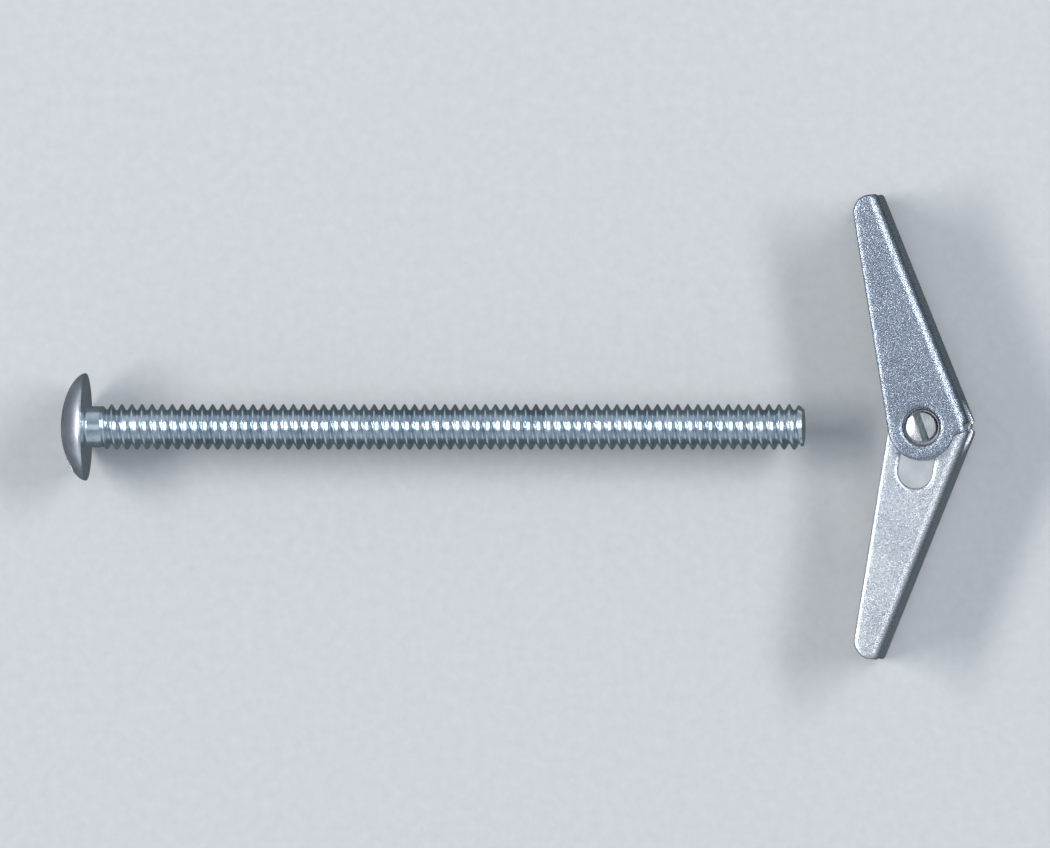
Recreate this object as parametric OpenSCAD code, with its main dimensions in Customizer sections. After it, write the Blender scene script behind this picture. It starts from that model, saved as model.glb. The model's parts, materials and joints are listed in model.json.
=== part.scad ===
// Spring toggle bolt for hollow walls, lying on its side with the screw drawn out of the toggle.
// Origin: on the screw's axis, in the bearing plane under its head. +X runs from the head to the tip and on
// through the toggle, the wings spread along Y, and Z is the axis that the wings turn about.

/* [Machine screw] */
// Length from under the head to the tip
screw_length = 75.1; // [50:0.1:150]
// Outside diameter of the thread, 4.8 nominal (No. 10)
thread_d = 4.75; // [4.62:0.01:4.8]
// Threads in one inch
threads_per_inch = 24; // [24:8:32]
// Plain neck under the head: diameter
neck_d = 4.3; // [4:0.05:4.5]
// Plain neck under the head: length
neck_length = 1.5; // [0.5:0.1:4]
// Mushroom head: diameter
head_d = 11.2; // [9.5:0.1:12]
// Mushroom head: height over its crown
head_height = 2.66; // [2.2:0.02:3.5]
// Mushroom head: height of its upright rim
rim_height = 0.16; // [0.1:0.02:0.5]
// Mushroom head: fullness of the dome, from 0.5 (half an ellipse) to 0.8 (more pointed)
dome_power = 0.62; // [0.5:0.02:0.8]
// Drive slot: width
slot_width = 1.35; // [1:0.05:1.6]
// Drive slot: depth below the crown
slot_depth = 1.4; // [0.8:0.1:1.6]
// Drive slot: turn about the screw's axis, from Z
slot_angle = 70; // [0:1:180]

/* [Toggle] */
// Distance from the screw's tip to the wings' axis, with the screw drawn out
drawn_out = 12.7; // [9:0.1:30]
// Barrel of the nut: diameter
barrel_d = 7.1; // [6.4:0.1:7.2]
// Barrel of the nut: reach of its near shoulder from the screw's axis
near_shoulder = 3.5; // [3.4:0.05:3.6]
// Barrel of the nut: reach of its far shoulder, on the spring's side
far_shoulder = 2.55; // [2.5:0.05:2.6]
// Pin ends of the nut: diameter
pin_d = 3.05; // [2.8:0.05:3.2]
// Pin ends of the nut: how far they stand out of the outer ears
pin_proud = 0.25; // [0.1:0.05:0.5]
// Clearance round the thread in the nut, on the radius
thread_clearance = 0.05; // [0.02:0.01:0.1]
// Width of the mark that the shear leaves across a pin end
shear_mark_width = 0.9; // [0.5:0.1:1.2]

/* [Wings] */
// Thickness of the sheet
sheet = 0.8; // [0.7:0.05:0.9]
// Distance from the wings' axis to the outer end of a wing
wing_length = 24.7; // [20:0.1:30]
// Radius of the rounded ears
ear_r = 3.5; // [3:0.1:3.6]
// Distance from the wings' axis to the outside of the web
web_distance = 4.73; // [4.7:0.01:5]
// Taper of a wing: angle between its free edges and its web
taper = 12.8; // [11:0.1:14]
// Lean of the free edges towards the head when the wings are open
lean = 9.2; // [5:0.1:12]
// Outside radius of the bend between web and flange
bend_r = 1.2; // [0.9:0.1:1.5]
// Radius of the rounded outer corner of a flange
tip_r = 1.9; // [1:0.1:2.2]
// Round hole in the outer ear: diameter
ear_hole_d = 3.9; // [3.4:0.05:4]
// Slot in the inner ear: width
ear_slot_width = 3.56; // [3.3:0.02:3.7]
// Slot in the inner ear: reach of its round end from the wings' axis
ear_slot_reach = 6.45; // [5:0.05:7]
// Screw notch in the end of the web: half its width
notch_r = 3; // [2.9:0.05:3]
// Screw notch in the end of the web: how far it goes past the nearest point of the web to the axis
notch_reach = 1.6; // [1.5:0.05:2]

/* [Spring] */
// Wire diameter
wire_d = 0.45; // [0.4:0.05:0.5]
// Mean radius of the coil
coil_r = 1.9; // [1.85:0.05:2]
// Reach of each leg along its wing
leg_reach = 8; // [6:0.1:8.1]

/* [Hidden] */
$fn = 64;

pitch = 25.4 / threads_per_inch;
thread_r = thread_d / 2;
thread_depth = 0.61 * pitch;
crest = pitch / 6;
thread_count = floor((screw_length - neck_length) / pitch);
thread_end = screw_length - crest;
tip_chamfer = 0.35;
dome_steps = 14;
coil_steps = 42;
wire_sides = 12;

pivot_x = screw_length + drawn_out;
slack = 0.05;
ear_gap = 0.1;
inner_ear_z = far_shoulder + 2 * wire_d + 3 * slack;
inner_ear_top = inner_ear_z + sheet;
outer_ear_z = inner_ear_top + ear_gap;
outer_ear_top = outer_ear_z + sheet;
pin_top = outer_ear_top + pin_proud;
pin_chamfer = 0.2;
shear_mark_depth = 0.3;
shear_mark_angle = 20;

web_inside = web_distance - sheet;
stop_gap = 0.15;
ear_lip = [3.35, -0.95];
ear_lip_end = [5.4, -0.2];
reach = 40;
steel = [0.72, 0.76, 0.80];
bright_steel = [0.80, 0.83, 0.85];
dark_steel = [0.55, 0.59, 0.62];

// One ridge of the ring thread that starts at x, as points [radius, length]
function ridge(x) = [
    [thread_r - thread_depth, x],
    [thread_r, x + (pitch - crest) / 2],
    [thread_r, x + (pitch + crest) / 2]
];

// Half section of the shank, as points [radius, length]
function shank_outline() = concat(
    [[0, -rim_height / 2], [neck_d / 2, -rim_height / 2], [neck_d / 2, neck_length]],
    [for (i = [1 : thread_count - 1]) each ridge(thread_end - (thread_count - i + 1) * pitch)],
    [[thread_r - thread_depth, thread_end - pitch]],
    [[thread_r - tip_chamfer / 2, thread_end - pitch / 2]],
    [[thread_r - tip_chamfer / 2, screw_length - tip_chamfer]],
    [[thread_r - thread_depth, screw_length], [0, screw_length]]
);

// Turns a half section [radius, length] about the X axis
module turned_along_x() {
    rotate([0, 90, 0]) rotate_extrude($fn = 96) children();
}

// Height of the dome over the rim at an angle up its half section, from 0 at the rim to 90 at the crown
function dome_height(angle) = rim_height + (head_height - rim_height) * pow(sin(angle), 2 * dome_power);

// Half section of the head, as points [radius, length]
function head_outline() = concat(
    [[0, 0], [head_d / 2, 0]],
    [for (i = [0 : dome_steps]) let (angle = 90 * i / dome_steps)
        [head_d / 2 * cos(angle), -dome_height(angle)]]
);

module machine_screw() color(bright_steel) {
    difference() {
        union() {
            turned_along_x() polygon(head_outline());
            turned_along_x() polygon(shank_outline());
        }
        rotate([slot_angle, 0, 0]) translate([-head_height - 1, -slot_width / 2, -head_d])
            cube([slot_depth + 1, slot_width, 2 * head_d]);
    }
}

// Barrel with the cross hole that the screw runs in, and a pin end on each side for the wings' ears
module trunnion_nut() color(dark_steel) translate([pivot_x, 0, 0]) {
    difference() {
        union() {
            translate([0, 0, -far_shoulder]) cylinder(d = barrel_d, h = near_shoulder + far_shoulder);
            cylinder(d = pin_d, h = 2 * (pin_top - pin_chamfer), center = true);
            cylinder(d = pin_d - 2 * pin_chamfer, h = 2 * pin_top, center = true);
        }
        rotate([0, 90, 0]) cylinder(r = thread_r + thread_clearance, h = 2 * barrel_d, center = true);
        for (side = [-1, 1])
            rotate([0, 0, shear_mark_angle])
                translate([0, 0, side * pin_top])
                    cube([shear_mark_width, 2 * pin_d, 2 * shear_mark_depth], center = true);
    }
}

// Level of the wire's middle at a share of the way round the coil: one turn steps up by one wire
function coil_level(share) =
    -far_shoulder - slack - wire_d / 2 - wire_d * (1 - min(1, max(0, (share - 0.4) / 0.2)));

// Middle line of the wire: down one leg, clockwise round the far pin end, and out along the other leg
function spring_line() = let (turn = 360 + 2 * lean, side = [coil_r * cos(lean), coil_r * sin(lean)],
                              out = [-leg_reach * sin(lean), leg_reach * cos(lean)]) concat(
    [[side[0] + out[0], side[1] + out[1], coil_level(0)]],
    [for (i = [0 : coil_steps]) let (angle = lean - turn * i / coil_steps)
        [coil_r * cos(angle), coil_r * sin(angle), coil_level(i / coil_steps)]],
    [[side[0] + out[0], -side[1] - out[1], coil_level(1)]]
);

// Direction across the wire, flat in the XY plane, at point i of a line
function across(line, i) =
    let (a = line[max(i - 1, 0)], b = line[min(i + 1, len(line) - 1)], d = b - a)
    [d[1], -d[0], 0] / norm([d[0], d[1]]);

// A round wire along a line that stays close to the XY plane
module wire(line) {
    last = len(line) - 1;
    points = [
        for (i = [0 : last], k = [0 : wire_sides - 1]) let (angle = 360 * k / wire_sides)
            line[i] + wire_d / 2 * (cos(angle) * across(line, i) + [0, 0, sin(angle)])
    ];
    sides = [
        for (i = [0 : last - 1], k = [0 : wire_sides - 1]) let (next = (k + 1) % wire_sides)
            [i * wire_sides + k, i * wire_sides + next, (i + 1) * wire_sides + next, (i + 1) * wire_sides + k]
    ];
    ends = [
        [for (k = [wire_sides - 1 : -1 : 0]) k],
        [for (k = [0 : wire_sides - 1]) last * wire_sides + k]
    ];
    polyhedron(points, concat(sides, ends));
}

// One turn round the far pin end, with a leg in each wing that presses it open
module torsion_spring() color(steel) translate([pivot_x, 0, 0]) wire(spring_line());

// Section of a block from x = from_x to x = to_x, with its two far corners rounded to r
module round_ended_block(from_x, to_x, low, high, r) {
    translate([from_x, low]) square([to_x - r - from_x, high - low]);
    translate([from_x, low + r]) square([to_x - from_x, high - low - 2 * r]);
    translate([to_x - r, low + r]) circle(r = r);
    translate([to_x - r, high - r]) circle(r = r);
}

// Folded sheet of one wing before its outline is cut: a channel along Y with its web at the +X side
module channel() {
    translate([0, reach, 0]) rotate([90, 0, 0]) linear_extrude(2 * reach) difference() {
        round_ended_block(-reach, web_distance, -inner_ear_top, outer_ear_top, bend_r);
        round_ended_block(-2 * reach, web_inside, -inner_ear_z, outer_ear_z, bend_r - sheet);
    }
}

// Lowest point of a wing at x, where it meets the other wing's end at the stop
function stop_y(x) = (stop_gap - x * sin(lean)) / cos(lean);

// Side view of a wing: round ear, straight free edge, rounded outer corner, and an end on the stop line
module wing_outline() {
    circle(r = ear_r);
    difference() {
        polygon([
            [-ear_r, 0],
            [-ear_r, wing_length],
            [reach, wing_length],
            [reach, stop_y(reach)],
            [0, stop_y(0)]
        ]);
        translate([-ear_r, wing_length - tip_r]) difference() {
            translate([-1, 0]) square([tip_r + 1, tip_r + 1]);
            translate([tip_r, 0]) circle(r = tip_r);
        }
    }
}

// The outer ear's lip, which reaches past the stop line beside the other wing's end
module ear_lip_outline() {
    rotate(-lean) polygon([[0, stop_gap], [0, -1], ear_lip, ear_lip_end, [ear_lip_end[0], stop_gap]]);
}

// One wing, turned about the Z axis at the origin, its outer ear at +Z
module wing() {
    rotate([0, 0, lean]) difference() {
        intersection() {
            rotate([0, 0, taper]) channel();
            union() {
                translate([0, 0, -reach / 2]) linear_extrude(reach) wing_outline();
                translate([0, 0, outer_ear_z]) linear_extrude(reach) ear_lip_outline();
            }
        }
        cylinder(d = ear_hole_d, h = reach);
        translate([0, 0, -reach]) linear_extrude(reach) {
            circle(d = ear_slot_width);
            translate([0, ear_slot_reach - ear_slot_width / 2]) circle(d = ear_slot_width);
            translate([-ear_slot_width / 2, 0])
                square([ear_slot_width, ear_slot_reach - ear_slot_width / 2]);
        }
        rotate([0, 0, taper]) translate([web_inside - bend_r, notch_reach - notch_r, 0]) {
            rotate([0, 90, 0]) cylinder(r = notch_r, h = reach);
            translate([0, -reach, -notch_r]) cube([reach, reach, 2 * notch_r]);
        }
    }
}

module upper_wing() color(steel) translate([pivot_x, 0, 0]) wing();

module lower_wing() color(bright_steel) translate([pivot_x, 0, 0]) rotate([180, 0, 0]) wing();

machine_screw();
trunnion_nut();
torsion_spring();
upper_wing();
lower_wing();
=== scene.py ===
"""Looks of a spring toggle bolt: a machine screw drawn out of its sprung, two-winged toggle.

Every piece is built in millimetres in the frame of the CAD model and scaled to metres at the end.
"""

import json
from math import acos, asin, atan2, ceil, cos, degrees, hypot, pi, radians, sin, tan

import bmesh
import bpy
import numpy as np
from mathutils import Matrix, Vector
from mathutils.geometry import delaunay_2d_cdt


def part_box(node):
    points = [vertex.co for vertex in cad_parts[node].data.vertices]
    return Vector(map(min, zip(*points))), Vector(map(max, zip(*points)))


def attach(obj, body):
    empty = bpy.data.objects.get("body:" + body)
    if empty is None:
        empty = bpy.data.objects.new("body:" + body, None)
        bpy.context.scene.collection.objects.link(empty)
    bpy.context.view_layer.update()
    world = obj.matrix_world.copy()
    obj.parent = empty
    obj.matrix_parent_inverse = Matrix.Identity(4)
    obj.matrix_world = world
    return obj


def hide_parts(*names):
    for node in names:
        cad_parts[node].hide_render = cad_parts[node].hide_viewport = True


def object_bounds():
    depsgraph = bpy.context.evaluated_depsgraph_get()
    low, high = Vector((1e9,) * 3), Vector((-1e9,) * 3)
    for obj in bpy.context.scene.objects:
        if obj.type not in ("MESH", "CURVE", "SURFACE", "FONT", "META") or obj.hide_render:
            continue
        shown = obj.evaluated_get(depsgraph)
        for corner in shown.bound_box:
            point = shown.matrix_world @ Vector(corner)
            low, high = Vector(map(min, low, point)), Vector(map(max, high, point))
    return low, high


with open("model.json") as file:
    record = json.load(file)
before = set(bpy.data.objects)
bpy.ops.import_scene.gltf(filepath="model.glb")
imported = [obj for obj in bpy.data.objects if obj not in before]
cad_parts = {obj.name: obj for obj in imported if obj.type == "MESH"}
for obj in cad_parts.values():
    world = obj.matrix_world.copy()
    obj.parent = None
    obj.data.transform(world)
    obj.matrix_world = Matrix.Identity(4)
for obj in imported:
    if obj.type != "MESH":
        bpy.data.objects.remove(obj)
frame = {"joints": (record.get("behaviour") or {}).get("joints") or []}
cad_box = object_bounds()
MM = 0.001
JOINTS = {joint["name"]: joint for joint in frame["joints"]}


def in_mm(node):
    """Lowest and highest corner of a CAD node, in millimetres."""
    low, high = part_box(node)
    return low / MM, high / MM


# ---------------------------------------------------------------- sizes, in millimetres and degrees
SCREW_LOW, SCREW_HIGH = in_mm("machine_screw")
NUT_LOW, NUT_HIGH = in_mm("trunnion_nut")
WING_LOW, WING_HIGH = in_mm("upper_wing")
PIVOT_X = JOINTS["upper_wing_fold"]["pos_m"][0] / MM
TRAVEL = JOINTS["toggle_travel"]["range_m"][1] / MM
FOLD = JOINTS["upper_wing_fold"]["range_deg"][1]

SCREW_LENGTH = SCREW_HIGH.x
HEAD_HEIGHT = -SCREW_LOW.x
HEAD_R = SCREW_HIGH.z
RIM_HEIGHT = 0.16
DOME_POWER = 0.62
DOME_END = radians(87.5)
NECK_R = 2.15
NECK_LENGTH = 1.35
NECK_FILLET = 0.3
THREAD_R = 2.375
PITCH = 25.4 / 24
THREAD_DEPTH = 0.62
THREAD_FADE = 1.1
TIP_CHAMFER = 0.42
TIP_TAPER = 0.75
TIP_ROUND = 0.05
TIP_RINGS = ((0.015, 0.05), (0.0, 0.13), (0.0, 0.6))
UNDER_ROUND = 0.1
UNDERSIDE_RINGS = (3.0, 3.8, 4.6, 5.2)
SLOT_WIDTH = 1.35
SLOT_DEPTH = 1.4
SLOT_ANGLE = radians(70)
SLOT_EDGE_ROUND = 0.12

BARREL_R = (NUT_HIGH.x - NUT_LOW.x) / 2
PIN_R = 1.525
PIN_TOP = NUT_HIGH.z
NEAR_SHOULDER = 3.5
FAR_SHOULDER = 2.55
NUT_CHAMFER = 0.22
NUT_FILLET = 0.12
PIN_ROUND = 0.18
PIN_EDGE_ROUND = 0.035
PIN_END_DEPTH = 0.6
NUT_THREAD_GAP = 0.045
NUT_THREAD_SHARE = 0.9
TAP_MOUTH = 0.6
TAP_MARGIN = 0.1
SHEAR_ANGLE = radians(20)
GROOVE = (-0.36, 0.36)
GROOVE_DEPTHS = (0.1, 0.5)

SHEET = 0.8
OUTER_EAR_TOP = WING_HIGH.z
INNER_EAR_TOP = -WING_LOW.z
WING_LENGTH = 24.7
EAR_R = 3.5
WEB_DISTANCE = 4.73
TAPER = radians(12.8)
LEAN = radians(9.2)
BEND_R = 1.2
TIP_R = 1.9
EAR_HOLE_R = 1.95
EAR_SLOT_R = 1.78
EAR_SLOT_REACH = 6.45
NOTCH_R = 3.0
NOTCH_REACH = 1.6
STOP_GAP = 0.15
LIP_START = (3.35, -0.95)
LIP_END = (5.4, -0.2)
OUTER_ROLL = (0.5, 0.26)
INNER_ROLL = (0.12, 0.12)
CORNER_ROUND = 0.13
TIP_RELIEF = 0.4

WIRE_R = 0.225
COIL_WIRE_SHARE = 0.97
COIL_R = 1.9
COIL_GAP = 0.05
LEG_REACH = 8.0


# ---------------------------------------------------------------- mesh helpers
def make_object(name, bm, material):
    """Turns a bmesh in millimetres into an object in metres, with outward normals."""
    bmesh.ops.scale(bm, vec=(MM, MM, MM), verts=bm.verts)
    bmesh.ops.recalc_face_normals(bm, faces=bm.faces)
    mesh = bpy.data.meshes.new(name)
    bm.to_mesh(mesh)
    bm.free()
    mesh.materials.append(material)
    obj = bpy.data.objects.new(name, mesh)
    bpy.context.scene.collection.objects.link(obj)
    return obj


def shade(obj, angle):
    """Smooth shading, sharp only where two faces meet at more than so many degrees."""
    obj.data.shade_smooth()
    obj.data.set_sharp_from_angle(angle=radians(angle))


def cut(obj, cutter):
    """Takes the cutter's solid out of obj, and removes the cutter."""
    modifier = obj.modifiers.new("cut", "BOOLEAN")
    modifier.operation = "DIFFERENCE"
    modifier.solver = "EXACT"
    modifier.object = cutter
    bpy.context.view_layer.update()
    result = bpy.data.meshes.new_from_object(obj.evaluated_get(bpy.context.evaluated_depsgraph_get()))
    obj.modifiers.clear()
    obj.data = result
    bpy.data.objects.remove(cutter, do_unlink=True)


def soften(obj, chosen, width, segments):
    """Rounds the edges of obj that chosen(edge) picks, to a width in millimetres."""
    bm = bmesh.new()
    bm.from_mesh(obj.data)
    edges = [edge for edge in bm.edges if len(edge.link_faces) == 2 and chosen(edge)]
    bmesh.ops.bevel(bm, geom=edges, offset=width * MM, segments=segments, profile=0.5, affect="EDGES",
                    clamp_overlap=True)
    bm.to_mesh(obj.data)
    bm.free()


def ride_as(obj, body, slot, *nodes):
    """Puts a finished piece on its body, and hides the CAD nodes that it stands for. Its slot is not used."""
    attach(obj, body)
    if nodes:
        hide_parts(*nodes)


# ---------------------------------------------------------------- helical thread
THREAD_STEPS = 14
TURN_STEPS = 72
FLANK_ANGLE = radians(30)
ROOT_SHARE = 0.55
CORNER_SHARE = 0.13


def thread_height(along):
    """Share of the thread's depth at a place along one pitch, from root to root, with its corners rounded."""
    flank = THREAD_DEPTH * tan(FLANK_ANGLE)
    root = (PITCH / 2 - flank) * ROOT_SHARE
    share = (min(along, PITCH - along) - root) / flank
    corner = CORNER_SHARE
    if share <= -corner:
        return 0.0
    if share < corner:
        return (share + corner) ** 2 / (4 * corner)
    if share <= 1 - corner:
        return share
    if share < 1 + corner:
        return 1 - (1 + corner - share) ** 2 / (4 * corner)
    return 1.0


def helix(radius_at, start, end, phase=0.0):
    """An open tube with a right-handed thread about X, cut square at start and end.

    radius_at(share, x) is its radius where the thread stands at that share of its depth.
    """
    bm = bmesh.new()
    first = start - phase - 2 * PITCH
    rows = ceil((end - start + 4 * PITCH) / PITCH * THREAD_STEPS)
    first_pitch = int(first // PITCH)
    grid = []
    for row in range(rows + THREAD_STEPS):
        share = thread_height(row % THREAD_STEPS * PITCH / THREAD_STEPS)
        ring = []
        for step in range(TURN_STEPS):
            angle = 2 * pi * step / TURN_STEPS
            x = phase + first_pitch * PITCH + row * PITCH / THREAD_STEPS + PITCH * angle / (2 * pi)
            radius = radius_at(share, x)
            ring.append(bm.verts.new((x, radius * cos(angle), radius * sin(angle))))
        grid.append(ring)
    for row in range(len(grid) - 1):
        for step in range(TURN_STEPS - 1):
            bm.faces.new((grid[row][step], grid[row + 1][step], grid[row + 1][step + 1], grid[row][step + 1]))
        seam = row + THREAD_STEPS
        if seam + 1 < len(grid):
            bm.faces.new((grid[row][-1], grid[row + 1][-1], grid[seam + 1][0], grid[seam][0]))
    for x, outward in ((start, -1), (end, 1)):
        geometry = list(bm.verts) + list(bm.edges) + list(bm.faces)
        bmesh.ops.bisect_plane(bm, geom=geometry, dist=1e-6, plane_co=(x, 0, 0), plane_no=(outward, 0, 0),
                               clear_outer=True)
    return bm


def extend(bm, x, stations):
    """Carries the open end of a tube at x on through rings (x, radius), and closes it with a flat face."""
    edges = [e for e in bm.edges if e.is_boundary and all(abs(v.co.x - x) < 1e-4 for v in e.verts)]
    for ring_x, radius in stations:
        made = bmesh.ops.extrude_edge_only(bm, edges=edges)["geom"]
        for vert in (g for g in made if isinstance(g, bmesh.types.BMVert)):
            angle = atan2(vert.co.z, vert.co.y)
            vert.co = (ring_x, radius * cos(angle), radius * sin(angle))
        edges = [g for g in made if isinstance(g, bmesh.types.BMEdge) and g.is_boundary]
    bmesh.ops.contextual_create(bm, geom=edges)


# ---------------------------------------------------------------- machine screw
def screw_radius(share, x):
    """Radius of the shank: the thread fades into the neck, and tapers off at the tip."""
    thread = THREAD_R - THREAD_DEPTH * (1 - share)
    fade = min(1.0, max(0.0, (x - NECK_LENGTH) / THREAD_FADE))
    fade = fade * fade * (3 - 2 * fade)
    taper = THREAD_R - TIP_CHAMFER * max(0.0, 1 - (SCREW_LENGTH - x) / TIP_TAPER)
    return min(NECK_R + (thread - NECK_R) * fade, taper)


def head_stations():
    """Rings from the neck over the underside, the rim and the dome to the crown."""
    rings = [(NECK_LENGTH * share, NECK_R) for share in (0.75, 0.5)]
    rings += [(NECK_FILLET * (1 - sin(a)), NECK_R + NECK_FILLET * (1 - cos(a)))
              for a in (radians(d) for d in range(0, 91, 15))]
    rings += [(0.0, radius) for radius in UNDERSIDE_RINGS]
    rings += [(-UNDER_ROUND * (1 - cos(a)), HEAD_R - UNDER_ROUND * (1 - sin(a)))
              for a in (radians(d) for d in range(0, 91, 22))]
    dome_steps = 40
    for step in range(1, dome_steps + 1):
        a = DOME_END * step / dome_steps
        height = RIM_HEIGHT + (HEAD_HEIGHT - RIM_HEIGHT) * sin(a) ** (2 * DOME_POWER)
        rings.append((-height, HEAD_R * cos(a)))
    return rings


def machine_screw(material):
    """The screw: a rolled thread and neck, its head with the slot cut across it, and a rounded tip."""
    thread_end = SCREW_LENGTH - TIP_ROUND
    bm = helix(screw_radius, NECK_LENGTH, thread_end)
    extend(bm, NECK_LENGTH, head_stations())
    tip_r = THREAD_R - TIP_CHAMFER
    extend(bm, thread_end, [(SCREW_LENGTH - back, tip_r - inward) for back, inward in TIP_RINGS])
    obj = make_object("machine_screw_forging", bm, material)
    cutter = bmesh.new()
    bmesh.ops.create_cube(cutter, size=1)
    depth = SLOT_DEPTH + 1
    bmesh.ops.scale(cutter, vec=(depth, SLOT_WIDTH, 3 * HEAD_R), verts=cutter.verts)
    bmesh.ops.translate(cutter, vec=(-HEAD_HEIGHT + SLOT_DEPTH - depth / 2, 0, 0), verts=cutter.verts)
    bmesh.ops.rotate(cutter, matrix=Matrix.Rotation(SLOT_ANGLE, 3, "X"), verts=cutter.verts)
    cut(obj, make_object("slot_cutter", cutter, material))
    across = Vector((0, cos(SLOT_ANGLE), sin(SLOT_ANGLE)))

    def on_slot_edge(edge):
        near = all(abs(abs(v.co.dot(across)) / MM - SLOT_WIDTH / 2) < 1e-3 and v.co.x < 0 for v in edge.verts)
        return near and edge.calc_face_angle() > radians(30)

    soften(obj, on_slot_edge, SLOT_EDGE_ROUND, 3)
    shade(obj, 30)
    ride_as(obj, "screw", "screw_steel", "machine_screw")


# ---------------------------------------------------------------- trunnion nut
def lathe(profile, steps=96):
    """A closed solid turned about Z from a profile of (radius, z) whose ends lie on the axis."""
    bm = bmesh.new()
    rings = []
    for radius, z in profile[1:-1]:
        rings.append([bm.verts.new((radius * cos(2 * pi * k / steps), radius * sin(2 * pi * k / steps), z))
                      for k in range(steps)])
    for low, high in zip(rings, rings[1:]):
        for k in range(steps):
            n = (k + 1) % steps
            bm.faces.new((low[k], low[n], high[n], high[k]))
    bm.faces.new(rings[0][::-1])
    bm.faces.new(rings[-1])
    return bm


def rounded_corner(centre, radius, start, end, steps=5):
    """Points (radius, z) on a quarter round, from angle start to angle end in degrees."""
    return [(centre[0] + radius * cos(radians(start + (end - start) * k / steps)),
             centre[1] + radius * sin(radians(start + (end - start) * k / steps))) for k in range(steps + 1)]


def nut_profile():
    """Half section of the nut: pin end, shoulder, barrel, shoulder, pin end."""
    c, f, p = NUT_CHAMFER, NUT_FILLET, PIN_ROUND
    points = [(0, -PIN_TOP)]
    points += rounded_corner((PIN_R - p, -PIN_TOP + p), p, -90, 0)
    points += rounded_corner((PIN_R + f, -FAR_SHOULDER - f), f, 180, 90)
    points += rounded_corner((BARREL_R - c, -FAR_SHOULDER + c), c, -90, 0)
    points += rounded_corner((BARREL_R - c, NEAR_SHOULDER - c), c, 0, 90)
    points += rounded_corner((PIN_R + f, NEAR_SHOULDER + f), f, -90, -180)
    points += rounded_corner((PIN_R - p, PIN_TOP - p), p, 0, 90)
    return points + [(0, PIN_TOP)]


def shear_cutter(side):
    """Cutter over a pin end: it leaves a sloping sheared face, a slanted groove beside it, and a flat rim."""
    bm = bmesh.new()
    left, right = GROOVE
    across = ((-2.0, 0.4), (-2.0, -0.38), (left, -0.02), (left + 0.03, -0.34), (right - 0.05, -0.42),
              (right, -0.03), (2.0, -0.10), (2.0, 0.4))
    ends = [[bm.verts.new((x, y, PIN_TOP + z)) for x, z in across] for y in (-3, 3)]
    bm.faces.new(ends[0])
    bm.faces.new(ends[1][::-1])
    for k in range(len(across)):
        n = (k + 1) % len(across)
        bm.faces.new((ends[0][k], ends[1][k], ends[1][n], ends[0][n]))
    bmesh.ops.rotate(bm, matrix=Matrix.Rotation(SHEAR_ANGLE, 3, "Z"), verts=bm.verts)
    if side < 0:
        bmesh.ops.rotate(bm, matrix=Matrix.Rotation(pi, 3, "X"), verts=bm.verts)
    bmesh.ops.translate(bm, vec=(PIVOT_X, 0, 0), verts=bm.verts)
    return bm


def trunnion_nut(material, groove_painted_shade_material):
    """The nut: a turned barrel with pin ends, tapped across and sheared at both ends."""
    bm = lathe(nut_profile())
    bmesh.ops.translate(bm, vec=(PIVOT_X, 0, 0), verts=bm.verts)
    obj = make_object("trunnion_nut_turned", bm, material)

    def tapped(share, x):
        mouth = max(0.0, 1 - (BARREL_R + TAP_MARGIN - abs(x - PIVOT_X)) / TAP_MOUTH)
        thread = THREAD_R - THREAD_DEPTH * (1 - share) * NUT_THREAD_SHARE
        return max(thread, THREAD_R - THREAD_DEPTH * (1 - mouth)) + NUT_THREAD_GAP

    reach = BARREL_R + 1
    tap = helix(tapped, PIVOT_X - reach, PIVOT_X + reach, phase=TRAVEL)
    extend(tap, PIVOT_X - reach, [(PIVOT_X - reach - 0.2, THREAD_R)])
    extend(tap, PIVOT_X + reach, [(PIVOT_X + reach + 0.2, THREAD_R)])
    cut(obj, make_object("tap_cutter", tap, material))
    for side in (1, -1):
        cut(obj, make_object("shear_cutter", shear_cutter(side), material))

    def on_pin_end(edge):
        at_end = all(abs(v.co.z) / MM > PIN_TOP - PIN_END_DEPTH for v in edge.verts)
        return at_end and edge.calc_face_angle() > radians(25)

    soften(obj, on_pin_end, PIN_EDGE_ROUND, 2)
    # The groove's faces take a very dark material: painted shade in the recess.
    obj.data.materials.append(groove_painted_shade_material)
    for face in obj.data.polygons:
        x, y, z = face.center / MM
        across = (x - PIVOT_X) * cos(SHEAR_ANGLE) + y * sin(SHEAR_ANGLE) * (1 if z > 0 else -1)
        in_groove = GROOVE_DEPTHS[0] < PIN_TOP - abs(z) < GROOVE_DEPTHS[1] and GROOVE[0] < across < GROOVE[1]
        face.material_index = 1 if in_groove and hypot(x - PIVOT_X, y) < PIN_R - 0.01 else 0
    shade(obj, 32)
    ride_as(obj, "toggle_nut", "nut_steel", "trunnion_nut")


# ---------------------------------------------------------------- torsion spring
COIL_TURN = 360 + 2 * degrees(LEAN)
LEG_WRAP = 150


def coil_level(turned):
    """Height of the wire's middle after turning so many degrees from the upper wing's leg."""
    share = min(1.0, max(0.0, (turned - LEG_WRAP) / (COIL_TURN - 2 * LEG_WRAP)))
    share = share * share * (3 - 2 * share)
    return -FAR_SHOULDER - COIL_GAP - WIRE_R - 2 * WIRE_R * (1 - share)


def coil_point(turned):
    """Middle of the wire after turning so many degrees from the upper wing's leg."""
    angle = LEAN - radians(turned)
    return Vector((PIVOT_X + COIL_R * cos(angle), COIL_R * sin(angle), coil_level(turned)))


def leg_points(side):
    """Points down the straight leg in the upper (+1) or lower (-1) wing, from its free end to the coil."""
    foot = Vector((COIL_R * cos(LEAN), COIL_R * sin(LEAN), 0))
    along = Vector((-sin(LEAN), cos(LEAN), 0))
    points = []
    leg_steps = 9
    for k in range(leg_steps):
        p = foot + along * LEG_REACH * (1 - k / leg_steps)
        points.append(Vector((PIVOT_X + p.x, side * p.y, coil_level(0 if side > 0 else COIL_TURN))))
    return points


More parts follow.
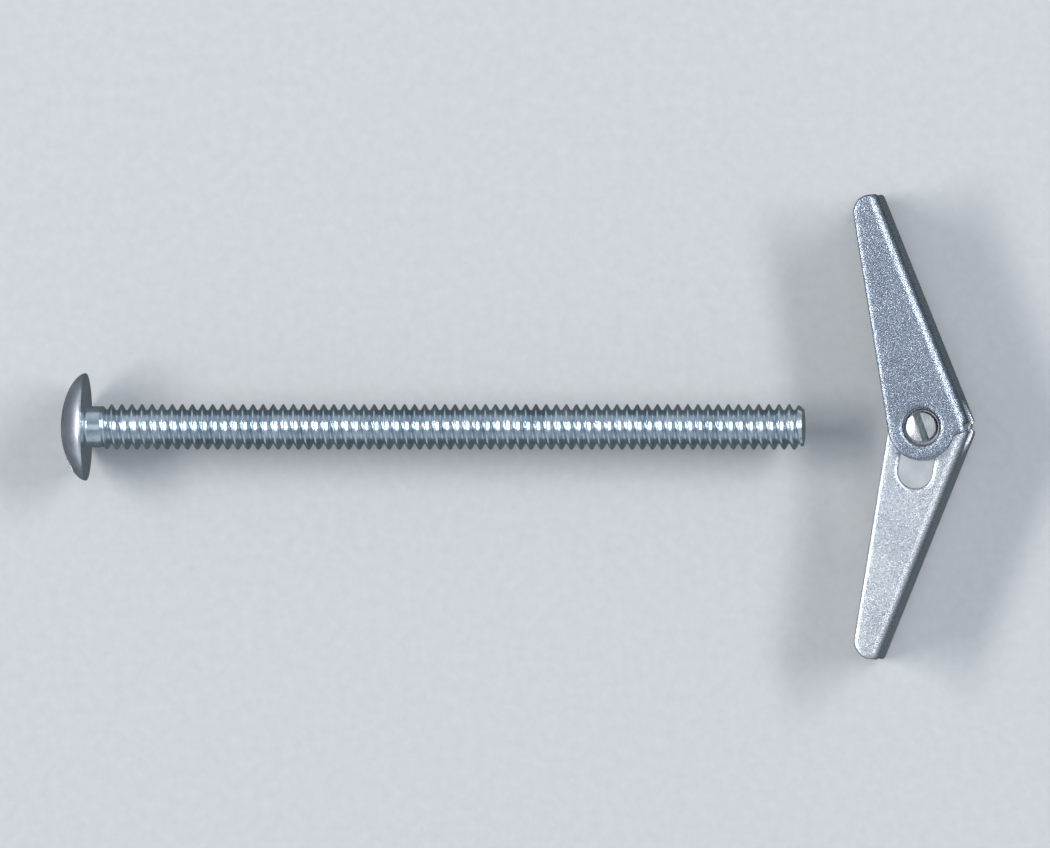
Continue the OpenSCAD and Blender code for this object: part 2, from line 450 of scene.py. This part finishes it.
def wire(name, points, radius, material, sides=20):
    """A round wire with domed ends along a list of points."""
    bm = bmesh.new()
    rings = []
    last = len(points) - 1
    stations = []
    for i, p in enumerate(points):
        along = (points[min(i + 1, last)] - points[max(i - 1, 0)]).normalized()
        stations.append((p, along, radius))
    dome = 0.35
    first, final = stations[0], stations[-1]
    before = [(first[0] - first[1] * radius * dome * sin(a), first[1], radius * cos(a))
              for a in (radians(d) for d in (80, 55, 28))]
    after = [(final[0] + final[1] * radius * dome * sin(a), final[1], radius * cos(a))
             for a in (radians(d) for d in (28, 55, 80))]
    for p, along, r in before + stations + after:
        side = along.cross(Vector((0, 0, 1))).normalized()
        up = side.cross(along).normalized()
        rings.append([bm.verts.new(p + (side * cos(2 * pi * k / sides) + up * sin(2 * pi * k / sides)) * r)
                      for k in range(sides)])
    for a, b in zip(rings, rings[1:]):
        for k in range(sides):
            n = (k + 1) % sides
            bm.faces.new((a[k], a[n], b[n], b[k]))
    bm.faces.new(rings[0][::-1])
    bm.faces.new(rings[-1])
    obj = make_object(name, bm, material)
    shade(obj, 60)
    return obj


def torsion_spring(material):
    """Coil on the nut, and a leg on each wing that carries its end of the coil round as the wing folds."""
    step, core_steps = 5, 45
    core_from, core_to = LEG_WRAP - FOLD, COIL_TURN - LEG_WRAP + FOLD
    core = [coil_point(core_from + (core_to - core_from) * k / core_steps) for k in range(core_steps + 1)]
    coil = wire("spring_coil", core, WIRE_R * COIL_WIRE_SHARE, material)
    ride_as(coil, "toggle_nut", "spring_wire", "torsion_spring")
    wraps = [coil_point(turned) for turned in range(0, LEG_WRAP + 1, step)]
    upper = wire("spring_leg_upper", leg_points(1) + wraps, WIRE_R, material)
    ride_as(upper, "upper_wing", "spring_wire")
    wraps = [coil_point(COIL_TURN - turned) for turned in range(0, LEG_WRAP + 1, step)]
    lower = wire("spring_leg_lower", leg_points(-1) + wraps, WIRE_R, material)
    ride_as(lower, "lower_wing", "spring_wire")


# ---------------------------------------------------------------- wings
# A wing is drawn as a flat blank, (w, s): s runs along the web to its outer end, and w goes across it,
# over the two bends and on along the flanges. folded() then bends a point of the blank, h above its
# middle, to the frame (n, s, z): n is the distance out from the axis to the web, and z the height.
MID_R = BEND_R - SHEET / 2
BEND_N = WEB_DISTANCE - BEND_R
BEND_W = pi / 2 * MID_R
BEND_Z = {1: OUTER_EAR_TOP - BEND_R, -1: -INNER_EAR_TOP + BEND_R}
TILT = LEAN + TAPER
BEND_STEPS = 9
LONGEST_STEP = 0.45
NEAREST_POINTS = 0.036
GRID_STEP = 0.7
FLANGE_STEP = 1.2
GRID_MARGIN = 0.08
SHARP_CORNER = radians(28)
LIP_TURN = radians(62)


def folded(w, s, h):
    """Place (n, s, z) of a point of the blank."""
    side = 1 if w > 0 else -1
    past = side * (w - BEND_Z[side])
    if past <= 0:
        return BEND_N + MID_R + h, s, w
    turn = min(past / MID_R, pi / 2)
    n = BEND_N + (MID_R + h) * cos(turn) - max(0.0, past - BEND_W)
    return n, s, BEND_Z[side] + side * (MID_R + h) * sin(turn)


def blank(side, n, s):
    """Point (w, s) of the blank that is folded to distance n on the outer (+1) or inner (-1) ear's side."""
    past = BEND_W + BEND_N - n if n <= BEND_N else MID_R * acos(min(1.0, (n - BEND_N) / MID_R))
    return BEND_Z[side] + side * past, s


def from_side_view(v, u):
    """(n, s) of a point v across and u along a wing, measured from its free edges' direction."""
    return v * cos(TAPER) + u * sin(TAPER), -v * sin(TAPER) + u * cos(TAPER)


def from_open(x, y):
    """(n, s) of a point (x, y) from the pivot when the wing is open."""
    return x * cos(TILT) + y * sin(TILT), -x * sin(TILT) + y * cos(TILT)


def tip_s(n):
    """s of the wing's outer end at n: a straight end whose free corner is rounded."""
    low, high = WING_LENGTH - 5, WING_LENGTH + 5
    for _ in range(40):
        s = (low + high) / 2
        v, u = n * cos(TAPER) - s * sin(TAPER), n * sin(TAPER) + s * cos(TAPER)
        past = min(0.0, v + EAR_R - TIP_R)
        end = WING_LENGTH - TIP_R + max(0.0, TIP_R ** 2 - past ** 2) ** 0.5
        low, high = (low, s) if u > end else (s, high)
    return s


def stop_s(n, turn):
    """s where the wing ends at the stop: square to the web there, so that only its inner corner touches."""
    return (STOP_GAP + SHEET / 2 * sin(TILT) * cos(turn) - n * sin(TILT)) / cos(TILT)


def flange_edge(side):
    """Edge of one flange from the web's outer end round to the stop, as points of the blank."""
    corner_steps, edge_steps, ear_steps, lip_steps, stop_steps = 18, 24, 48, 7, 4
    points = []
    for turn in (pi / 2 * step / BEND_STEPS for step in range(BEND_STEPS + 1)):
        points.append((BEND_N + MID_R * cos(turn), tip_s(BEND_N + (MID_R + SHEET / 2) * cos(turn))))
    corner = [from_side_view(TIP_R - EAR_R + TIP_R * cos(a), WING_LENGTH - TIP_R + TIP_R * sin(a))
              for a in (pi / 2 * (1 + step / corner_steps) for step in range(corner_steps + 1))]
    points += [point for point in corner if point[0] < BEND_N - 0.06]
    straight = WING_LENGTH - TIP_R
    for step in range(1, edge_steps):
        points.append(from_side_view(-EAR_R, straight * (1 - step / edge_steps)))
    last = degrees(atan2(LIP_START[1], LIP_START[0]) if side > 0 else asin(STOP_GAP / EAR_R)) - degrees(LEAN)
    for step in range(ear_steps + 1):
        a = radians(180 + (180 + last) * step / ear_steps)
        points.append(from_side_view(EAR_R * cos(a), EAR_R * sin(a)))
    if side > 0:
        start, end = from_open(*LIP_START), from_open(*LIP_END)
        for step in range(1, lip_steps + 1):
            n = start[0] + (BEND_N + MID_R * cos(LIP_TURN) - start[0]) * step / lip_steps
            points.append((n, start[1] + (end[1] - start[1]) * (n - start[0]) / (end[0] - start[0])))
        turns = range(45, -1, -9)
    else:
        n = from_open(EAR_R, STOP_GAP)[0]
        turns = range(90, -1, -10)
        for step in range(1, stop_steps):
            between = n + (BEND_N - n) * step / stop_steps
            points.append((between, stop_s(between, pi / 2)))
    for turn in (radians(t) for t in turns):
        n = BEND_N + MID_R * cos(turn)
        points.append((n, stop_s(n, turn)))
    return [blank(side, n, s) for n, s in points]


def wing_outline():
    """The blank's outline as one closed list of points (w, s)."""
    n_web = BEND_N + MID_R
    end_s = stop_s(n_web, 0)
    centre = NOTCH_REACH - NOTCH_R
    points = flange_edge(1)[::-1]
    across = BEND_Z[1] - BEND_Z[-1]
    steps = 16
    points += [(BEND_Z[1] - across * k / steps, tip_s(WEB_DISTANCE) - TIP_RELIEF * sin(pi * k / steps) ** 0.6)
               for k in range(1, steps)]
    points += flange_edge(-1)
    notch = [(NOTCH_R * cos(a), centre + NOTCH_R * sin(a)) for a in (pi - pi * k / 36 for k in range(37))]
    points += [(-NOTCH_R, end_s)] + notch + [(NOTCH_R, end_s)]
    return points


def tidy_loop(points, nearest=0.02):
    """Drops points that repeat the one before, and rounds every sharp corner a little."""
    kept = []
    for p in points:
        if not kept or hypot(p[0] - kept[-1][0], p[1] - kept[-1][1]) > nearest:
            kept.append(p)
    if hypot(kept[0][0] - kept[-1][0], kept[0][1] - kept[-1][1]) <= nearest:
        kept.pop()
    out = []
    for i, p in enumerate(kept):
        a, b = Vector(kept[i - 1]) - Vector(p), Vector(kept[(i + 1) % len(kept)]) - Vector(p)
        bend = pi - a.angle(b)
        if bend < SHARP_CORNER:
            out.append(p)
            continue
        back = min(CORNER_ROUND, 0.45 * a.length, 0.45 * b.length)
        start, end = Vector(p) + a.normalized() * back, Vector(p) + b.normalized() * back
        for t in (0, 0.25, 0.5, 0.75, 1):
            q = start * (1 - t) ** 2 + Vector(p) * 2 * t * (1 - t) + end * t ** 2
            out.append((q.x, q.y))
    return out


def ear_holes():
    """The round hole in the outer ear and the slot in the inner one, as closed lists of points (w, s)."""
    around, half, side = 56, 24, 8
    round_hole = [(EAR_HOLE_R * cos(2 * pi * k / around), EAR_HOLE_R * sin(2 * pi * k / around))
                  for k in range(around)]
    reach = EAR_SLOT_REACH - EAR_SLOT_R
    arc = [pi * k / half for k in range(half + 1)]
    slot = [(EAR_SLOT_R * cos(pi + a), EAR_SLOT_R * sin(pi + a)) for a in arc]
    slot += [(EAR_SLOT_R, reach * k / side) for k in range(1, side)]
    slot += [(EAR_SLOT_R * cos(a), reach + EAR_SLOT_R * sin(a)) for a in arc]
    slot += [(-EAR_SLOT_R, reach * (1 - k / side)) for k in range(1, side)]
    return [[blank(1, *from_side_view(*p)) for p in round_hole],
            [blank(-1, *from_side_view(*p)) for p in slot]]


def area(loop):
    """Area inside a loop, negative if it runs clockwise."""
    return sum(a[0] * b[1] - b[0] * a[1] for a, b in zip(loop, loop[1:] + loop[:1])) / 2


def resample(loop, longest):
    """The loop with every long step cut into short ones."""
    out = []
    for a, b in zip(loop, loop[1:] + loop[:1]):
        count = ceil(hypot(b[0] - a[0], b[1] - a[1]) / longest)
        out += [(a[0] + (b[0] - a[0]) * k / count, a[1] + (b[1] - a[1]) * k / count) for k in range(count)]
    return out


def inset(loop, distance):
    """The loop's points moved to its left by a distance."""
    out = []
    for i, p in enumerate(loop):
        p = Vector(p)
        a = (p - Vector(loop[i - 1])).normalized()
        b = (Vector(loop[(i + 1) % len(loop)]) - p).normalized()
        left = Vector((-a.y - b.y, a.x + b.x)).normalized()
        q = p + left * distance / max(0.5, left.dot(Vector((-a.y, a.x))))
        out.append((q.x, q.y))
    return out


class Outline:
    """Closed loops in the plane: how far a point is from them, and whether it lies between them."""

    def __init__(self, loops):
        self.start = np.array([p for loop in loops for p in loop])
        self.end = np.array([p for loop in loops for p in loop[1:] + loop[:1]])

    def distance(self, points):
        step = self.end - self.start
        away = np.array(points)[:, None, :] - self.start
        share = np.clip((away * step).sum(2) / (step * step).sum(1), 0, 1)
        return np.sqrt(((away - share[..., None] * step) ** 2).sum(2)).min(1)

    def inside(self, points):
        x, y = np.array(points).T[:, :, None]
        a, b = self.start.T, self.end.T
        crosses = (a[1] > y) != (b[1] > y)
        rise = np.where(b[1] == a[1], 1, b[1] - a[1])
        return (crosses & (x < a[0] + (y - a[1]) * (b[0] - a[0]) / rise)).sum(1) % 2 == 1


def spread(points, nearest):
    """Leaves out every point that lies too near one before it."""
    kept = {}
    for x, y in points:
        i, j = int(x // nearest), int(y // nearest)
        near = (q for di in (-1, 0, 1) for dj in (-1, 0, 1) for q in kept.get((i + di, j + dj), ()))
        if all(hypot(x - q[0], y - q[1]) >= nearest for q in near):
            kept.setdefault((i, j), []).append((x, y))
    return [p for cell in kept.values() for p in cell]


def grid_points(loops):
    """Rows of points along both bends, and a loose grid over the flat parts."""
    low = min(s for _, s in loops[0])
    high = max(s for _, s in loops[0])
    rows = [BEND_Z[side] + side * BEND_W * k / BEND_STEPS for side in (1, -1) for k in range(BEND_STEPS + 1)]
    rows += [BEND_Z[-1] + (BEND_Z[1] - BEND_Z[-1]) * k / 6 for k in range(1, 6)]
    rows += [BEND_Z[side] + side * (BEND_W + FLANGE_STEP * k) for side in (1, -1) for k in range(1, 9)]
    count = ceil((high - low) / GRID_STEP)
    return [(w, low + (high - low) * (k + 0.5) / count) for w in rows for k in range(count)]


def triangulate(loops):
    """Cuts the blank into triangles: its points, each one's distance from the edge, triangles and loops."""
    outline = Outline(loops)
    flat = [p for loop in loops for p in loop]
    fixed = len(flat)
    extra = []
    for back in (share * OUTER_ROLL[0] for share in (0.1, 0.33, 0.66, 1.0)):
        ring = [q for loop in loops for q in inset(loop, back)]
        extra += [q for q, away in zip(ring, outline.distance(ring)) if away > 0.93 * back]
    grid = grid_points(loops)
    extra += [q for q, far in zip(grid, outline.distance(grid)) if far > OUTER_ROLL[0] + GRID_MARGIN]
    extra = spread([q for q, keep in zip(extra, outline.inside(extra)) if keep], NEAREST_POINTS)
    edges, chains, start = [], [], 0
    for loop in loops:
        chain = list(range(start, start + len(loop)))
        edges += list(zip(chain, chain[1:] + chain[:1]))
        chains.append(chain)
        start += len(loop)
    found = delaunay_2d_cdt([Vector(p) for p in flat + extra], edges, [], 0, 1e-7)
    points = [tuple(p) for p in found[0]]
    place = {source: i for i, sources in enumerate(found[3]) for source in sources if source < fixed}
    centres = [tuple(sum(points[i][k] for i in t) / 3 for k in (0, 1)) for t in found[2]]
    triangles = [t for t, keep in zip(found[2], outline.inside(centres)) if keep]
    return points, outline.distance(points), triangles, [[place[i] for i in chain] for chain in chains]


def rolled(back, roll):
    """How far the sheet's face has dropped at a distance back from its edge: a quarter of an ellipse."""
    short = max(0.0, 1 - back / roll[0])
    return roll[1] * (1 - (1 - short * short) ** 0.5)


def sheet_mesh():
    """One wing in its own frame: the blank with thickness and rolled edges, folded to a channel.

    Faces inside the channel have material index 1.
    """
    loops = [resample(tidy_loop(loop), LONGEST_STEP) for loop in [wing_outline()] + ear_holes()]
    loops = [loop if (area(loop) > 0) == (i == 0) else loop[::-1] for i, loop in enumerate(loops)]
    points, backs, triangles, chains = triangulate(loops)
    used = sorted({i for t in triangles for i in t})
    bm = bmesh.new()
    faces = []
    for side, roll in ((1, OUTER_ROLL), (-1, INNER_ROLL)):
        heights = {i: side * (SHEET / 2 - rolled(backs[i], roll)) for i in used}
        verts = {i: bm.verts.new(folded(*points[i], height)) for i, height in heights.items()}
        faces.append(verts)
        for triangle in triangles:
            made = bm.faces.new([verts[i] for i in triangle[::side]])
            made.material_index = 0 if side > 0 else 1
    outer, inner = faces
    for chain in chains:
        for a, b in zip(chain, chain[1:] + chain[:1]):
            bm.faces.new((outer[a], inner[a], inner[b], outer[b]))
    for v in bm.verts:
        n, s, z = v.co
        v.co = (n * cos(TILT) - s * sin(TILT), n * sin(TILT) + s * cos(TILT), z)
    return bm


def wing(name, body, slot, materials, turned_over):
    """A wing with its outer and inner materials. The lower one is turned over about the screw's axis."""
    bm = sheet_mesh()
    if turned_over:
        bmesh.ops.rotate(bm, matrix=Matrix.Rotation(pi, 3, "X"), verts=bm.verts)
    bmesh.ops.translate(bm, vec=(PIVOT_X, 0, 0), verts=bm.verts)
    obj = make_object(name, bm, materials[0])
    obj.data.materials.append(materials[1])
    shade(obj, 40)
    weight = obj.modifiers.new("even_shading", "WEIGHTED_NORMAL")
    weight.keep_sharp = True
    ride_as(obj, body, slot, body)


# ---------------------------------------------------------------- materials, in metres
ZINC_DARK = (0.46, 0.53, 0.63)
ZINC_LIGHT = (0.74, 0.80, 0.88)
ZINC_SPARK = (0.97, 0.98, 1.0)
# Heights in metres over which the top face fades into the wing's own colours, its painted light and shade.
TOP_FACE_LIGHT_AND_SHADE_FADE = (0.0036, 0.0044)
SPECKLE_DARK = 0.42
ROLL_MARKS = 7


class Nodes:
    """A small helper that makes and links the nodes of one material."""

    def __init__(self, name):
        self.material = bpy.data.materials.new(name)
        self.material.use_nodes = True
        self.tree = self.material.node_tree
        self.shader = self.tree.nodes["Principled BSDF"]
        self.place = self.node("ShaderNodeTexCoord").outputs["Object"]

    def node(self, kind, inputs=None, **settings):
        made = self.tree.nodes.new(kind)
        for key, value in settings.items():
            setattr(made, key, value)
        for key, value in (inputs or {}).items():
            if isinstance(value, bpy.types.NodeSocket):
                self.tree.links.new(value, made.inputs[key])
            else:
                made.inputs[key].default_value = value
        return made

    def noise(self, scale, detail=2.0, roughness=0.5):
        return self.node("ShaderNodeTexNoise", {"Vector": self.place, "Scale": scale, "Detail": detail,
                                                "Roughness": roughness}).outputs["Fac"]

    def cells(self, scale):
        return self.node("ShaderNodeTexVoronoi", {"Vector": self.place, "Scale": scale}).outputs["Distance"]

    def ramp(self, factor, low, high, dark, light):
        """Colours from dark to light as the factor goes from low to high."""
        made = self.node("ShaderNodeValToRGB", {"Fac": factor})
        ends = made.color_ramp.elements
        ends[0].position, ends[1].position = low, high
        ends[0].color, ends[1].color = (*dark, 1), (*light, 1)
        return made.outputs["Color"]

    def span(self, factor, low, high, start, end):
        return self.node("ShaderNodeMapRange", {"Value": factor, "From Min": low, "From Max": high,
                                                "To Min": start, "To Max": end}).outputs["Result"]

    def bump(self, height, strength, distance, below=None):
        inputs = {"Height": height, "Strength": strength, "Distance": distance}
        if below is not None:
            inputs["Normal"] = below
        return self.node("ShaderNodeBump", inputs).outputs["Normal"]

    def blend(self, factor, first, second):
        """The first colour where the factor is 0 and the second where it is 1."""
        inputs = {"Factor": factor, "A": first, "B": second}
        return self.node("ShaderNodeMix", inputs, data_type="RGBA").outputs["Result"]

    def drive(self, **sockets):
        """Links outputs to the shader's inputs, or sets plain values there."""
        for key, value in sockets.items():
            socket = self.shader.inputs[key.replace("_", " ")]
            if isinstance(value, bpy.types.NodeSocket):
                self.tree.links.new(value, socket)
            else:
                socket.default_value = value

    def stretched(self, turn, scale):
        """Noise drawn out into streaks: its scale along each axis, after a turn about Z in degrees."""
        place = self.node("ShaderNodeMapping", {"Vector": self.place, "Rotation": (0, 0, radians(turn)),
                                                "Scale": scale}).outputs["Vector"]
        return self.node("ShaderNodeTexNoise", {"Vector": place, "Scale": 1.0, "Detail": 3.0}).outputs["Fac"]

    def math(self, operation, *values):
        made = self.node("ShaderNodeMath", dict(enumerate(values)), operation=operation)
        return made.outputs["Value"]


def screw_zinc():
    """Bright zinc plate on a rolled thread: fine roll marks along the thread, faint clouds and grain."""
    m = Nodes("bright_zinc_screw")
    clouds = m.noise(420, 4, 0.6)
    grain = m.noise(5200, 2)
    axes = m.node("ShaderNodeSeparateXYZ", {"Vector": m.place}).outputs
    turn = m.math("DIVIDE", m.math("ARCTAN2", axes["Z"], axes["Y"]), 2 * pi)
    along = m.math("SUBTRACT", m.math("DIVIDE", axes["X"], PITCH * MM), turn)
    marks = m.math("SINE", m.math("MULTIPLY", along, 2 * pi * ROLL_MARKS))
    marks = m.math("MULTIPLY", marks, m.span(m.noise(1500, 2), 0.35, 0.65, 0.0, 1.0))
    head = m.span(axes["X"], 0.0, -0.0003, 0.0, 1.0)
    shank_colour = m.ramp(clouds, 0.3, 0.7, (0.52, 0.61, 0.68), (0.76, 0.83, 0.88))
    head_colour = m.ramp(clouds, 0.3, 0.7, (0.66, 0.68, 0.76), (0.86, 0.88, 0.97))
    rough = m.math("ADD", m.span(clouds, 0.3, 0.75, 0.16, 0.26), m.math("MULTIPLY", head, 0.15))
    m.drive(Metallic=1.0, Base_Color=m.blend(head, shank_colour, head_colour), Roughness=rough,
            Normal=m.bump(marks, 0.35, 0.00001, m.bump(grain, 0.14, 0.00003)))
    return m.material


def sheet_zinc(name, dark, light, rough_low, rough_high):
    """Zinc-plated pressed sheet: crystal sparkle in cloudy patches. Its top face goes from dark to light, in
    colours given for each wing, which paint the light and shade that fall on its top.
    """
    m = Nodes(name)
    patches = m.noise(170, 5, 0.62)
    crystals = m.cells(8800)
    sparkle = m.noise(10400, 1, 0.6)
    height = m.node("ShaderNodeSeparateXYZ", {"Vector": m.place}).outputs["Z"]
    # Painted light and shade: the face on top takes the colours given for the wing, and the rest takes the
    # plain zinc.
    top = m.span(height, *TOP_FACE_LIGHT_AND_SHADE_FADE, 0.0, 1.0)
    elsewhere = m.ramp(patches, 0.32, 0.68, ZINC_DARK, ZINC_LIGHT)
    cloudy = m.blend(top, elsewhere, m.ramp(patches, 0.32, 0.68, dark, light))
    speckled = m.ramp(sparkle, 0.42, 0.62, tuple(c * SPECKLE_DARK for c in dark), ZINC_SPARK)
    rough = m.span(sparkle, 0.3, 0.7, rough_low, rough_high)
    tilt = m.bump(crystals, 0.42, 0.00006)
    m.drive(Metallic=1.0, Base_Color=m.blend(0.5, cloudy, speckled), Roughness=rough,
            Normal=m.bump(sparkle, 0.48, 0.00006, tilt))
    return m.material


def inside_zinc_painted_light():
    """Inside of a wing's channel: duller zinc, with a pale colour that is painted light, lightening the
    shaded inside of the channel.
    """
    m = Nodes("pale_zinc_inside_painted_light")
    clouds = m.noise(600, 3, 0.6)
    grain = m.noise(6000, 2)
    m.drive(Metallic=0.75, Base_Color=m.ramp(clouds, 0.3, 0.7, (0.80, 0.83, 0.86), (0.93, 0.95, 0.96)),
            Roughness=m.span(clouds, 0.3, 0.7, 0.36, 0.48), Normal=m.bump(grain, 0.3, 0.00004))
    return m.material


def nut_zinc():
    """Turned steel under thin zinc plate, with shear scratches across the pin ends."""
    m = Nodes("turned_nut_zinc")
    clouds = m.noise(700, 3, 0.6)
    scratches = m.stretched(-degrees(SHEAR_ANGLE), (9000, 900, 900))
    colour = m.ramp(scratches, 0.35, 0.65, (0.50, 0.50, 0.53), (0.86, 0.86, 0.87))
    m.drive(Metallic=1.0, Base_Color=colour, Roughness=m.span(clouds, 0.3, 0.7, 0.20, 0.34),
            Normal=m.bump(scratches, 0.35, 0.00003))
    return m.material


def groove_steel_painted_shade():
    """Torn steel in the groove that the shear leaves: its streaks are the steel's own, and its very dark
    colour is painted shade in the groove.
    """
    m = Nodes("sheared_groove_painted_shade")
    tears = m.stretched(-degrees(SHEAR_ANGLE), (7000, 1500, 1500))
    m.drive(Metallic=1.0, Base_Color=m.ramp(tears, 0.3, 0.7, (0.16, 0.19, 0.20), (0.34, 0.38, 0.38)),
            Roughness=m.span(tears, 0.3, 0.7, 0.3, 0.45), Normal=m.bump(tears, 0.4, 0.00003))
    return m.material


def spring_steel():
    """Drawn spring wire, a little darker than the plated pieces."""
    m = Nodes("drawn_spring_wire")
    streaks = m.noise(1800, 3)
    colour = m.ramp(streaks, 0.3, 0.7, (0.40, 0.41, 0.42), (0.62, 0.63, 0.64))
    m.drive(Metallic=1.0, Base_Color=colour, Roughness=m.span(streaks, 0.3, 0.7, 0.24, 0.38),
            Normal=m.bump(streaks, 0.12, 0.00002))
    return m.material


def floor_paper():
    """Pale, matt paper with faint fibres."""
    m = Nodes("pale_floor")
    fibres = m.noise(900, 4, 0.6)
    m.drive(Base_Color=m.ramp(fibres, 0.2, 0.8, (0.56, 0.57, 0.58), (0.62, 0.63, 0.64)), Roughness=0.85)
    m.shader.inputs["Specular IOR Level"].default_value = 0.2
    return m.material


# ---------------------------------------------------------------- the object
machine_screw(screw_zinc())
trunnion_nut(nut_zinc(), groove_steel_painted_shade())
torsion_spring(spring_steel())
# Painted light: the channel's inside is made pale to lighten its shade.
inside_painted_light = inside_zinc_painted_light()
# The upper wing's darker top colours are painted shade, and the lower wing's lighter ones are painted light.
upper_zinc_painted_shade = sheet_zinc("upper_wing_zinc_painted_shade", (0.22, 0.29, 0.40), (0.36, 0.44, 0.57), 0.20, 0.33)
lower_zinc_painted_light = sheet_zinc("lower_wing_zinc_painted_light", (0.66, 0.73, 0.83), (0.96, 0.98, 1.0), 0.24, 0.40)
wing("upper_wing_pressing", "upper_wing", "upper_wing_steel", (upper_zinc_painted_shade, inside_painted_light), False)
wing("lower_wing_pressing", "lower_wing", "lower_wing_steel", (lower_zinc_painted_light, inside_painted_light), True)


# ---------------------------------------------------------------- floor, lights and camera
FLOOR_Z = min(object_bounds()[0].z, cad_box[0].z)
FLOOR_REACH = 6000
MIDDLE = Vector((0.04594, 0.0003, 0.0))
CAMERA_LEAN = radians(5.8)
CAMERA_DISTANCE = 3.0
VIEW_WIDTH = 0.10929
SENSOR_WIDTH = 36


def add_floor():
    """A plain pale floor, which the metal doesn't mirror, so that its edges stay dark."""
    bm = bmesh.new()
    bmesh.ops.create_grid(bm, x_segments=1, y_segments=1, size=1)
    bmesh.ops.scale(bm, vec=(FLOOR_REACH, FLOOR_REACH, 1), verts=bm.verts)
    bmesh.ops.translate(bm, vec=(MIDDLE.x / MM, 0, FLOOR_Z / MM), verts=bm.verts)
    floor = make_object("floor", bm, floor_paper())
    floor.visible_glossy = False


def add_light(name, place, size, watts, colour):
    """A soft rectangular light at a place, aimed at the middle of the object."""
    data = bpy.data.lights.new(name, "AREA")
    data.shape = "RECTANGLE"
    data.size, data.size_y = size
    data.energy = watts
    data.color = colour
    obj = bpy.data.objects.new(name, data)
    obj.location = MIDDLE + Vector(place)
    obj.rotation_euler = (-Vector(place)).to_track_quat("-Z", "Y").to_euler()
    obj.visible_camera = False
    bpy.context.scene.collection.objects.link(obj)


def add_camera():
    """A long lens over the object, leaning a little to the toggle's side."""
    data = bpy.data.cameras.new("camera")
    data.sensor_width = SENSOR_WIDTH
    data.lens = data.sensor_width * CAMERA_DISTANCE / VIEW_WIDTH
    data.clip_start, data.clip_end = 0.01, 20
    obj = bpy.data.objects.new("camera", data)
    back = Vector((sin(CAMERA_LEAN), 0, cos(CAMERA_LEAN)))
    right = Vector((cos(CAMERA_LEAN), 0, -sin(CAMERA_LEAN)))
    up = back.cross(right)
    turn = Matrix((right, up, back)).transposed().to_4x4()
    obj.matrix_world = Matrix.Translation(MIDDLE + back * CAMERA_DISTANCE) @ turn
    bpy.context.scene.collection.objects.link(obj)
    bpy.context.scene.camera = obj


def add_world():
    """A dim room: dark below the floor's edge, brighter round the walls, with a glow straight above."""
    world = bpy.data.worlds.new("studio")
    world.use_nodes = True
    tree = world.node_tree
    place = tree.nodes.new("ShaderNodeTexCoord")
    split = tree.nodes.new("ShaderNodeSeparateXYZ")
    ramp = tree.nodes.new("ShaderNodeValToRGB")
    tree.links.new(place.outputs["Generated"], split.inputs["Vector"])
    height = tree.nodes.new("ShaderNodeMapRange")
    height.inputs["From Min"].default_value = -1
    tree.links.new(split.outputs["Z"], height.inputs["Value"])
    tree.links.new(height.outputs["Result"], ramp.inputs["Fac"])
    stops = [(0.0, (0.10, 0.12, 0.13)), (0.46, (0.14, 0.165, 0.18)), (0.54, (0.48, 0.52, 0.56)),
             (0.75, (0.55, 0.59, 0.64)), (0.975, (0.23, 0.28, 0.34)), (0.99, (0.76, 0.81, 0.86))]
    elements = ramp.color_ramp.elements
    while len(elements) < len(stops):
        elements.new(0.5)
    for element, (position, colour) in zip(elements, stops):
        element.position = position
        element.color = (*colour, 1)
    tree.links.new(ramp.outputs["Color"], tree.nodes["Background"].inputs["Color"])
    bpy.context.scene.world = world


bpy.context.scene.view_settings.view_transform = "Standard"
add_floor()
add_light("left_softbox", (-0.85, 0.10, 0.85), (0.80, 0.22), 7.8, (1.0, 0.99, 0.97))
add_light("right_softbox", (0.78, 0.30, 0.80), (0.70, 0.20), 6.0, (0.98, 0.99, 1.0))
add_world()
add_camera()
